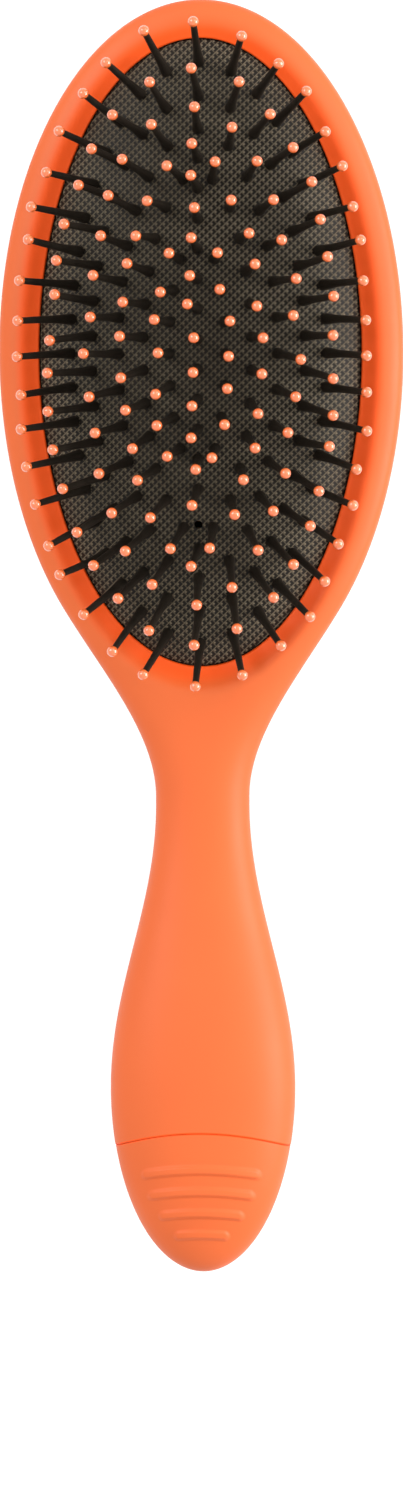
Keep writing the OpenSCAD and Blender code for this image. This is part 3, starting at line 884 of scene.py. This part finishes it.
class BRUSH_OT_pins(Operator):
    """Nylon pins: one piece for each ring and one for the centre row"""

    bl_idname = "brush.pins"
    bl_label = "Pins"

    # Faces round a pin, and rows on its shank.
    turns, shank_rows = 14, 9
    # Clearance between the rubber and the parts of a pin above and below it.
    seat = 0.00008
    # Where the shank ends inside the ball, in diameters of the ball below its centre.
    ball_share = 0.3
    # The collar's rounded foot: its narrowest width and the height of its knee, as shares.
    toe_share, knee_share = 0.9, 0.4
    # Places of the rows on the flare, and how quickly it narrows.
    flare_rows, flare_power = (0.15, 0.35, 0.6, 0.8), 1.3

    def execute(self, context):
        scene = context.scene
        material = moulded_nylon(scene)
        section = self.section(scene.brush_pins, scene.brush_cushion.rubber)
        turn = np.linspace(0, 2 * np.pi, self.turns, endpoint=False)[:, None]
        for name, pins in standing_pins(scene, section[:, 1]):
            sheets = Sheets()
            for centres, side, front, _ in pins:
                ring = side * np.cos(turn) + front * np.sin(turn)
                rings = ring[None] * section[:, :1, None] / 2
                sheets.add(centres[:, None] + rings, closed=True)
            piece = sheets.make(f"nylon_pins_{name}", sharp=50)
            dress(piece, material, name, f"pins_{name}")
        return {"FINISHED"}

    def section(self, p, rubber):
        """Diameter and height of each row of a pin, from its head under the rubber upwards."""
        under = -rubber - self.seat
        rows = [
            (0, under - p.head_thickness),
            (p.head_diameter, under - p.head_thickness),
            (p.head_diameter, under),
            (p.root_diameter, under),
            (p.root_diameter, -self.seat),
            (p.collar_diameter * self.toe_share, self.seat),
            (p.collar_diameter, self.seat + self.knee_share * p.collar_height),
            (p.collar_diameter, p.collar_height),
        ]
        for t in self.flare_rows:
            widening = (p.collar_diameter - p.root_diameter) * (1 - t) ** self.flare_power
            rows.append((p.root_diameter + widening, p.collar_height + p.collar_taper * t))
        top = p.length - p.ball_diameter * self.ball_share
        taper = np.linspace(p.root_diameter, p.tip_diameter, self.shank_rows)
        shank = np.linspace(p.collar_height + p.collar_taper, top, self.shank_rows)
        return np.array(rows + list(zip(taper, shank)) + [(0, top)])


class BRUSH_OT_tips(Operator):
    """Ball tips: one piece for each ring and one for the centre row"""

    bl_idname = "brush.tips"
    bl_label = "Ball tips"

    # Faces round a ball and from pole to pole.
    turns, rows = 20, 14

    def execute(self, context):
        scene = context.scene
        p, material = scene.brush_pins, glossy_tip(scene)
        turn = np.linspace(0, 2 * np.pi, self.turns, endpoint=False)
        tilt = np.linspace(0, np.pi, self.rows + 1)[:, None]
        ball = points(np.sin(tilt) * np.cos(turn), np.sin(tilt) * np.sin(turn), np.cos(tilt))
        for name, pins in standing_pins(scene, np.array([p.length])):
            sheets = Sheets()
            for centres, *axes in pins:
                sheets.add(centres[0] + ball @ np.array(axes) * p.ball_diameter / 2, closed=True)
            piece = sheets.make(f"ball_tips_{name}", sharp=80)
            dress(piece, material, name, f"tips_{name}")
        return {"FINISHED"}


class BRUSH_OT_plug(Operator):
    """Plug of the cap and its friction ring: finishes for the frame's own solids"""

    bl_idname = "brush.plug"
    bl_label = "Plug and ring"

    def execute(self, context):
        for name, surface in (("cap_plug", moulded_plug), ("cap_friction_ring", ring_rubber)):
            for mesh_slot in frame["nodes"][name].material_slots:
                mesh_slot.material = surface(context.scene)
        return {"FINISHED"}


# Shader helpers.


def add(tree, kind, values=None, **settings):
    """A node of a tree, with its settings and the values of its inputs."""
    node = tree.nodes.new(kind)
    for key, value in settings.items():
        setattr(node, key, value)
    for key, value in (values or {}).items():
        node.inputs[key].default_value = value
    return node


def join(tree, *pairs):
    """Links outputs to inputs, in pairs."""
    for source, target in pairs:
        tree.links.new(source, target)


def in_use(sockets):
    """The sockets that a node has with its present settings."""
    return [socket for socket in sockets if socket.enabled]


def through(tree, source, kind, values=None, **settings):
    """Passes an output through a new node's first input, and returns that node's output."""
    node = add(tree, kind, values, **settings)
    join(tree, (source, in_use(node.inputs)[0]))
    return in_use(node.outputs)[0]


def combine(tree, operation, first, second):
    """What an operation makes of two outputs, such as their product or the greater one."""
    node = add(tree, "ShaderNodeMath", operation=operation)
    join(tree, (first, node.inputs[0]), (second, node.inputs[1]))
    return node.outputs[0]


def fade(tree, source, start, full, how="SMOOTHSTEP"):
    """A mask that grows from 0 to 1 as the source goes from one value to another."""
    limits = {"From Min": start, "From Max": full}
    return through(tree, source, "ShaderNodeMapRange", limits, interpolation_type=how)


def tinted(tree, mask, low, high):
    """A colour that goes from low to high by a mask."""
    node = add(tree, "ShaderNodeMix", data_type="RGBA")
    factor, first, second = in_use(node.inputs)
    first.default_value, second.default_value = (*low, 1), (*high, 1)
    join(tree, (mask, factor))
    return in_use(node.outputs)[0]


def mottled(tree, mask, source, shade):
    """A colour output multiplied by a shade where the mask is 1."""
    node = add(tree, "ShaderNodeMix", data_type="RGBA", blend_type="MULTIPLY")
    factor, first, second = in_use(node.inputs)
    second.default_value = (*shade, 1)
    join(tree, (mask, factor), (source, first))
    return in_use(node.outputs)[0]


def profile(tree, source, stops):
    """A height that runs through (place, height) stops as the source goes from 0 to 1."""
    node = add(tree, "ShaderNodeValToRGB")
    elements = node.color_ramp.elements
    while len(elements) < len(stops):
        elements.new(1.0)
    for element, (place, height) in zip(elements, stops):
        element.position, element.color = place, (height, height, height, 1)
    join(tree, (source, node.inputs["Fac"]))
    return node.outputs["Color"]


def group(name, inputs, outputs, build):
    """A shader node group with named sockets of plain numbers, built once."""
    tree = bpy.data.node_groups.get(name)
    if tree is None:
        kind = "NodeSocketFloat"
        tree = bpy.data.node_groups.new(name, "ShaderNodeTree")
        for key, value in inputs.items():
            socket = tree.interface.new_socket(key, in_out="INPUT", socket_type=kind)
            socket.default_value = value
        for key in outputs:
            tree.interface.new_socket(key, in_out="OUTPUT", socket_type=kind)
        build(tree, add(tree, "NodeGroupInput"), add(tree, "NodeGroupOutput"))
    return tree


def fine_grain():
    """Fine moulded grain and soft mottling, for every moulded surface."""

    def build(tree, given, out):
        place = add(tree, "ShaderNodeTexCoord").outputs["Object"]
        grain = add(tree, "ShaderNodeTexNoise", {"Detail": 3.0, "Roughness": 0.6})
        patches = add(tree, "ShaderNodeTexNoise", {"Detail": 2.0, "Roughness": 0.5})
        join(
            tree,
            (place, grain.inputs["Vector"]),
            (place, patches.inputs["Vector"]),
            (given.outputs["Grain Scale"], grain.inputs["Scale"]),
            (given.outputs["Patch Scale"], patches.inputs["Scale"]),
            (grain.outputs["Fac"], out.inputs["Grain"]),
            (fade(tree, patches.outputs["Fac"], 0.3, 0.7, "LINEAR"), out.inputs["Patches"]),
        )

    scales = {"Grain Scale": 4000.0, "Patch Scale": 60.0}
    return group("Fine grain", scales, ("Grain", "Patches"), build)


# Stops of the weave's ridges and pads over one step along each diagonal, as (place, height). The
# height also sets the rubber's colour, so the ridges along X, higher than those along Y, are also
# painted paler: a painted highlight for the side that catches the light.
RIDGES = {
    "X": ((0.0, 0.85), (0.06, 0.85), (0.13, 0), (0.89, 0), (0.98, 0.85)),
    "Y": ((0.0, 0.5), (0.06, 0.5), (0.13, 0), (0.9, 0), (0.98, 0.5)),
}
PADS = {
    "X": ((0.1, 0), (0.18, 1), (0.42, 1), (0.54, 0)),
    "Y": ((0.08, 0), (0.18, 1), (0.4, 1), (0.52, 0)),
}


def diamond_weave():
    """Raised diamonds between thin ridges that run along both diagonals."""

    def build(tree, given, out):
        place = add(tree, "ShaderNodeTexCoord").outputs["Object"]
        diagonal = {"Rotation": (0, 0, math.radians(45))}
        repeats = add(tree, "ShaderNodeVectorMath", operation="SCALE")
        cell = add(tree, "ShaderNodeVectorMath", operation="FRACTION")
        parts = add(tree, "ShaderNodeSeparateXYZ")
        join(
            tree,
            (through(tree, place, "ShaderNodeMapping", diagonal), repeats.inputs[0]),
            (given.outputs["Repeats"], repeats.inputs["Scale"]),
            (repeats.outputs[0], cell.inputs[0]),
            (cell.outputs[0], parts.inputs[0]),
        )
        ridges, pads = (
            combine(tree, how, *(profile(tree, parts.outputs[key], stops[key]) for key in "XY"))
            for how, stops in (("MAXIMUM", RIDGES), ("MULTIPLY", PADS))
        )
        join(tree, (combine(tree, "MAXIMUM", ridges, pads), out.inputs["Height"]))

    return group("Diamond weave", {"Repeats": 1000.0}, ("Height",), build)


# Finishes.

# Where the painted shade beside the parting line has faded out, in widths of its band.
SEAM_SHADE_FADE = 1.8

# Shades that the soft patches give the coat and the rubber.
COAT_MOTTLE = (0.96, 0.95, 0.95)
RUBBER_MOTTLE = (0.72, 0.7, 0.68)


def plain_surface(name, levels):
    """A new material with only its shader, at plain levels, and its output."""
    material = bpy.data.materials.new(name)
    material.use_nodes = True
    shader = material.node_tree.nodes["Principled BSDF"]
    for key, level in levels.items():
        shader.inputs[key].default_value = level
    return material, material.node_tree, shader


def finish(name, **levels):
    """Makes a function that returns a finish's material from the one that adds its nodes.

    Levels name the shader's inputs, with underscores for spaces."""
    levels = {key.replace("_", " "): level for key, level in levels.items()}

    def wrap(build):
        def made(scene):
            if name not in bpy.data.materials:
                build(scene, *plain_surface(name, levels)[1:])
            return bpy.data.materials[name]

        return made

    return wrap


def grained(tree, shader, grain, patch, bump, rough):
    """Bumps a shader with the fine grain and varies its roughness. Returns the mottling."""
    scales = {"Grain Scale": grain, "Patch Scale": patch}
    both = add(tree, "ShaderNodeGroup", scales, node_tree=fine_grain())
    bumped = add(tree, "ShaderNodeBump", {"Strength": 1.0, "Distance": bump})
    roughness = add(tree, "ShaderNodeMapRange", {"To Min": rough[0], "To Max": rough[1]})
    join(
        tree,
        (both.outputs["Grain"], bumped.inputs["Height"]),
        (bumped.outputs["Normal"], shader.inputs["Normal"]),
        (both.outputs["Patches"], roughness.inputs["Value"]),
        (roughness.outputs["Result"], shader.inputs["Roughness"]),
    )
    return both.outputs["Patches"]


@finish("soft matt coat", Specular_IOR_Level=0.27)
def soft_coat(scene, tree, shader):
    """Soft matt coat, with painted shade: a deeper red-orange on the inner slope of the rim and
    along the parting line.
    """
    f, rim, end = scene.brush_finish, scene.brush_opening, scene.brush_handle_end
    patches = grained(tree, shader, grain=5200.0, patch=45.0, bump=0.00001, rough=(0.42, 0.5))
    place = add(tree, "ShaderNodeTexCoord").outputs["Object"]

    def away(centre_y, scale):
        """Distance in plan from a place along the brush, measured by a scale along each axis."""
        vector = "ShaderNodeVectorMath"
        off = through(tree, place, vector, {1: (0, centre_y, 0)}, operation="SUBTRACT")
        flat = through(tree, off, vector, {1: scale}, operation="MULTIPLY")
        return through(tree, flat, vector, operation="LENGTH")

    # Painted shade: inside an oval round the opening, and above the groove's top, the rim's inner
    # slope is painted the deeper coat in place of the shade that falls there, with more red for the
    # light it lacks.
    oval_scale = (2 / f.slope_width, 2 / f.slope_length, 0)
    slope = fade(tree, away(Outside(scene).head_y, oval_scale), 1 + f.slope_fade, 1 - f.slope_fade)
    parts = add(tree, "ShaderNodeSeparateXYZ")
    join(tree, (place, parts.inputs[0]))
    front = fade(tree, parts.outputs["Z"], rim.ledge_height, rim.groove_top, "LINEAR")
    # Painted shade: a thin band on each side of the parting line is painted the deeper coat, for
    # the shade in the seam's crease.
    past = away(parting_centre(end), (1, 1, 0))
    radius = {1: end.parting_radius}
    past = through(tree, past, "ShaderNodeMath", radius, operation="SUBTRACT")
    past = through(tree, past, "ShaderNodeMath", operation="ABSOLUTE")
    seam_shade = fade(tree, past, SEAM_SHADE_FADE * f.seam_width, f.seam_width)
    deep = combine(tree, "MAXIMUM", combine(tree, "MULTIPLY", slope, front), seam_shade)
    coat_and_painted_shade = tinted(tree, deep, f.coat, f.coat_deep)
    join(tree, (mottled(tree, patches, coat_and_painted_shade, COAT_MOTTLE), shader.inputs["Base Color"]))


@finish("diamond rubber", Roughness=0.5, Specular_IOR_Level=0.16)
def moulded_rubber(scene, tree, shader):
    """Black rubber with a moulded weave of small diamonds, with painted light and shade: pale on
    the ridges and diamond tops as if lit, dark in the grooves as painted shade.
    """
    f = scene.brush_finish
    scales = {"Grain Scale": 1600.0, "Patch Scale": 90.0}
    grain = add(tree, "ShaderNodeGroup", scales, node_tree=fine_grain())
    repeats = {"Repeats": 1 / scene.brush_cushion.texture_pitch}
    weave = add(tree, "ShaderNodeGroup", repeats, node_tree=diamond_weave()).outputs["Height"]
    # Painted light and shade: the weave's height colours the rubber, pale on ridges and diamond
    # tops as if lit, dark in the grooves as shade.
    lit_ridges_shaded_grooves = tinted(tree, weave, f.rubber_low, f.rubber_high)
    patchy = mottled(tree, grain.outputs["Patches"], lit_ridges_shaded_grooves, RUBBER_MOTTLE)
    bumped = add(tree, "ShaderNodeBump", {"Strength": 1.0, "Distance": 0.00012})
    join(
        tree,
        (weave, bumped.inputs["Height"]),
        (bumped.outputs["Normal"], shader.inputs["Normal"]),
        (patchy, shader.inputs["Base Color"]),
    )


def toned(name, key, tone, grain, **levels):
    """A finish of one colour, varied by soft patches that multiply it by a tone."""

    @finish(name, **levels)
    def made(scene, tree, shader):
        base = getattr(scene.brush_finish, key)
        patches = grained(tree, shader, **grain)
        varied = tinted(tree, patches, base, [c * t for c, t in zip(base, tone)])
        join(tree, (varied, shader.inputs["Base Color"]))

    return made


moulded_nylon = toned(
    "black nylon",
    "nylon",
    tone=(1.6, 1.6, 1.6),
    grain=dict(grain=3000.0, patch=300.0, bump=0.00001, rough=(0.4, 0.5)),
    Specular_IOR_Level=0.12,
)
glossy_tip = toned(
    "orange ball",
    "tip",
    tone=(1.0, 1.1, 1.15),
    grain=dict(grain=2500.0, patch=500.0, bump=0.000004, rough=(0.26, 0.32)),
    Coat_Weight=1.0,
    Coat_Roughness=0.16,
    Coat_IOR=1.75,
)
moulded_plug = toned(
    "grey plug",
    "plug",
    tone=(0.86, 0.86, 0.86),
    grain=dict(grain=2200.0, patch=120.0, bump=0.00002, rough=(0.4, 0.52)),
)
ring_rubber = toned(
    "ring rubber",
    "seal",
    tone=(1.8, 1.8, 1.8),
    grain=dict(grain=2600.0, patch=200.0, bump=0.00001, rough=(0.45, 0.6)),
)


# Stage.

# Place and side of each square lamp, in metres.
LAMPS = {
    "key": ((0.8, 0.75, 1.05), 0.55),
    "side": ((1.15, 0.05, 0.28), 0.9),
    "fill": ((-0.9, 0.65, 1.05), 0.8),
    "top": ((0.0, 0.6, 1.95), 2.4),
}


def seen_directly(tree):
    """1 for what the camera sees, also in gloss or glass, and 0 for what only gives light."""
    path = add(tree, "ShaderNodeLightPath").outputs
    seen = combine(tree, "MAXIMUM", path["Is Camera Ray"], path["Is Glossy Ray"])
    return combine(tree, "MAXIMUM", seen, path["Is Transmission Ray"])


class BRUSH_OT_stage(Operator):
    """Stage: white floor, soft lamps, white surround and the camera"""

    bl_idname = "brush.stage"
    bl_label = "Stage"

    def execute(self, context):
        scene, s = context.scene, context.scene.brush_stage
        self.floor(scene, s)
        self.surround(scene, s)
        for name, (place, side) in LAMPS.items():
            self.lamp(scene, name, place, side, getattr(s, f"{name}_power"))
        self.camera(scene, s)
        scene.view_settings.view_transform = "Standard"
        return {"FINISHED"}

    def floor(self, scene, s):
        """A floor that is lit as a pale grey, and glows up to white where it is seen."""
        half = s.floor_size / 2
        corners = [(-half, -half), (half, -half), (half, half), (-half, half)]
        mesh = bpy.data.meshes.new("floor")
        mesh.from_pydata([(x, y, -s.floor_gap) for x, y in corners], [], [(0, 1, 2, 3)])
        floor = bpy.data.objects.new("floor", mesh)
        scene.collection.objects.link(floor)
        tone = (s.floor_tone, s.floor_tone, s.floor_tone, 1)
        levels = {"Base Color": tone, "Roughness": 0.9, "Specular IOR Level": 0.0}
        material, tree, shader = plain_surface("white floor", levels)
        glow = add(tree, "ShaderNodeEmission", {"Color": (1, 1, 1, 1)})
        level = add(tree, "ShaderNodeMath", {1: s.floor_glow}, operation="MULTIPLY")
        both = add(tree, "ShaderNodeAddShader")
        join(
            tree,
            (seen_directly(tree), level.inputs[0]),
            (level.outputs[0], glow.inputs["Strength"]),
            (shader.outputs[0], both.inputs[0]),
            (glow.outputs[0], both.inputs[1]),
            (both.outputs[0], tree.nodes["Material Output"].inputs["Surface"]),
        )
        mesh.materials.append(material)

    def surround(self, scene, s):
        """A surround that gives a plain level of light, and is white where it is seen."""
        world = bpy.data.worlds.new("white surround")
        world.use_nodes = True
        tree = world.node_tree
        background = tree.nodes["Background"]
        background.inputs["Color"].default_value = (1, 1, 1, 1)
        level = add(tree, "ShaderNodeMix", {"A": s.ambient, "B": 1.0}, data_type="FLOAT")
        join(
            tree,
            (seen_directly(tree), level.inputs["Factor"]),
            (level.outputs["Result"], background.inputs["Strength"]),
        )
        scene.world = world

    def lamp(self, scene, name, place, side, power):
        """A square lamp that faces the middle of the view and isn't seen itself."""
        data = bpy.data.lights.new(name, "AREA")
        data.shape, data.size, data.energy = "SQUARE", side, power
        lamp = bpy.data.objects.new(name, data)
        lamp.location = place
        lamp.visible_camera = False
        aim = Vector((0, scene.brush_stage.view_centre, 0)) - lamp.location
        lamp.rotation_euler = aim.to_track_quat("-Z", "Y").to_euler()
        scene.collection.objects.link(lamp)

    def camera(self, scene, s):
        """A distant camera, almost straight above the brush."""
        data = bpy.data.cameras.new("camera")
        data.sensor_fit = "VERTICAL"
        data.lens = data.sensor_height * s.camera_distance / s.view_length
        camera = bpy.data.objects.new("camera", data)
        lean = Euler((-s.lean_up, s.lean_right, 0)).to_matrix()
        camera.rotation_euler = (lean @ Matrix.Rotation(s.roll, 3, "Z")).to_euler()
        back = lean @ Vector((0, 0, s.camera_distance))
        camera.location = Vector((s.view_side, s.view_centre, s.aim_height)) + back
        scene.collection.objects.link(camera)
        scene.camera = camera


class BRUSH_PT_pieces(Panel):
    """Lists the pieces of the brush and its stage"""

    bl_idname = "BRUSH_PT_pieces"
    bl_label = "Detangling Brush"
    bl_space_type = "VIEW_3D"
    bl_region_type = "UI"
    bl_category = "Brush"

    def draw(self, context):
        for operator in OPERATORS:
            self.layout.operator(operator.bl_idname)
        for name in GROUPS:
            box = self.layout.box()
            settings = getattr(context.scene, name)
            for key in settings.__annotations__:
                box.prop(settings, key)


GROUPS = {
    "brush_outline": BRUSH_PG_outline,
    "brush_opening": BRUSH_PG_opening,
    "brush_handle_end": BRUSH_PG_handle_end,
    "brush_cushion": BRUSH_PG_cushion,
    "brush_pins": BRUSH_PG_pins,
    "brush_finish": BRUSH_PG_finish,
    "brush_stage": BRUSH_PG_stage,
}
OPERATORS = (
    BRUSH_OT_body,
    BRUSH_OT_cap,
    BRUSH_OT_cushion,
    BRUSH_OT_pins,
    BRUSH_OT_tips,
    BRUSH_OT_plug,
    BRUSH_OT_stage,
)


def register():
    for kind in (*GROUPS.values(), *OPERATORS, BRUSH_PT_pieces):
        bpy.utils.register_class(kind)
    for name, kind in GROUPS.items():
        setattr(bpy.types.Scene, name, PointerProperty(type=kind))


def unregister():
    for name in GROUPS:
        delattr(bpy.types.Scene, name)
    for kind in reversed((*GROUPS.values(), *OPERATORS, BRUSH_PT_pieces)):
        bpy.utils.unregister_class(kind)


def main():
    register()
    bpy.ops.brush.stage()
    bpy.ops.brush.body()
    bpy.ops.brush.cap()
    bpy.ops.brush.cushion()
    bpy.ops.brush.pins()
    bpy.ops.brush.tips()
    bpy.ops.brush.plug()


if __name__ == "__main__":
    main()
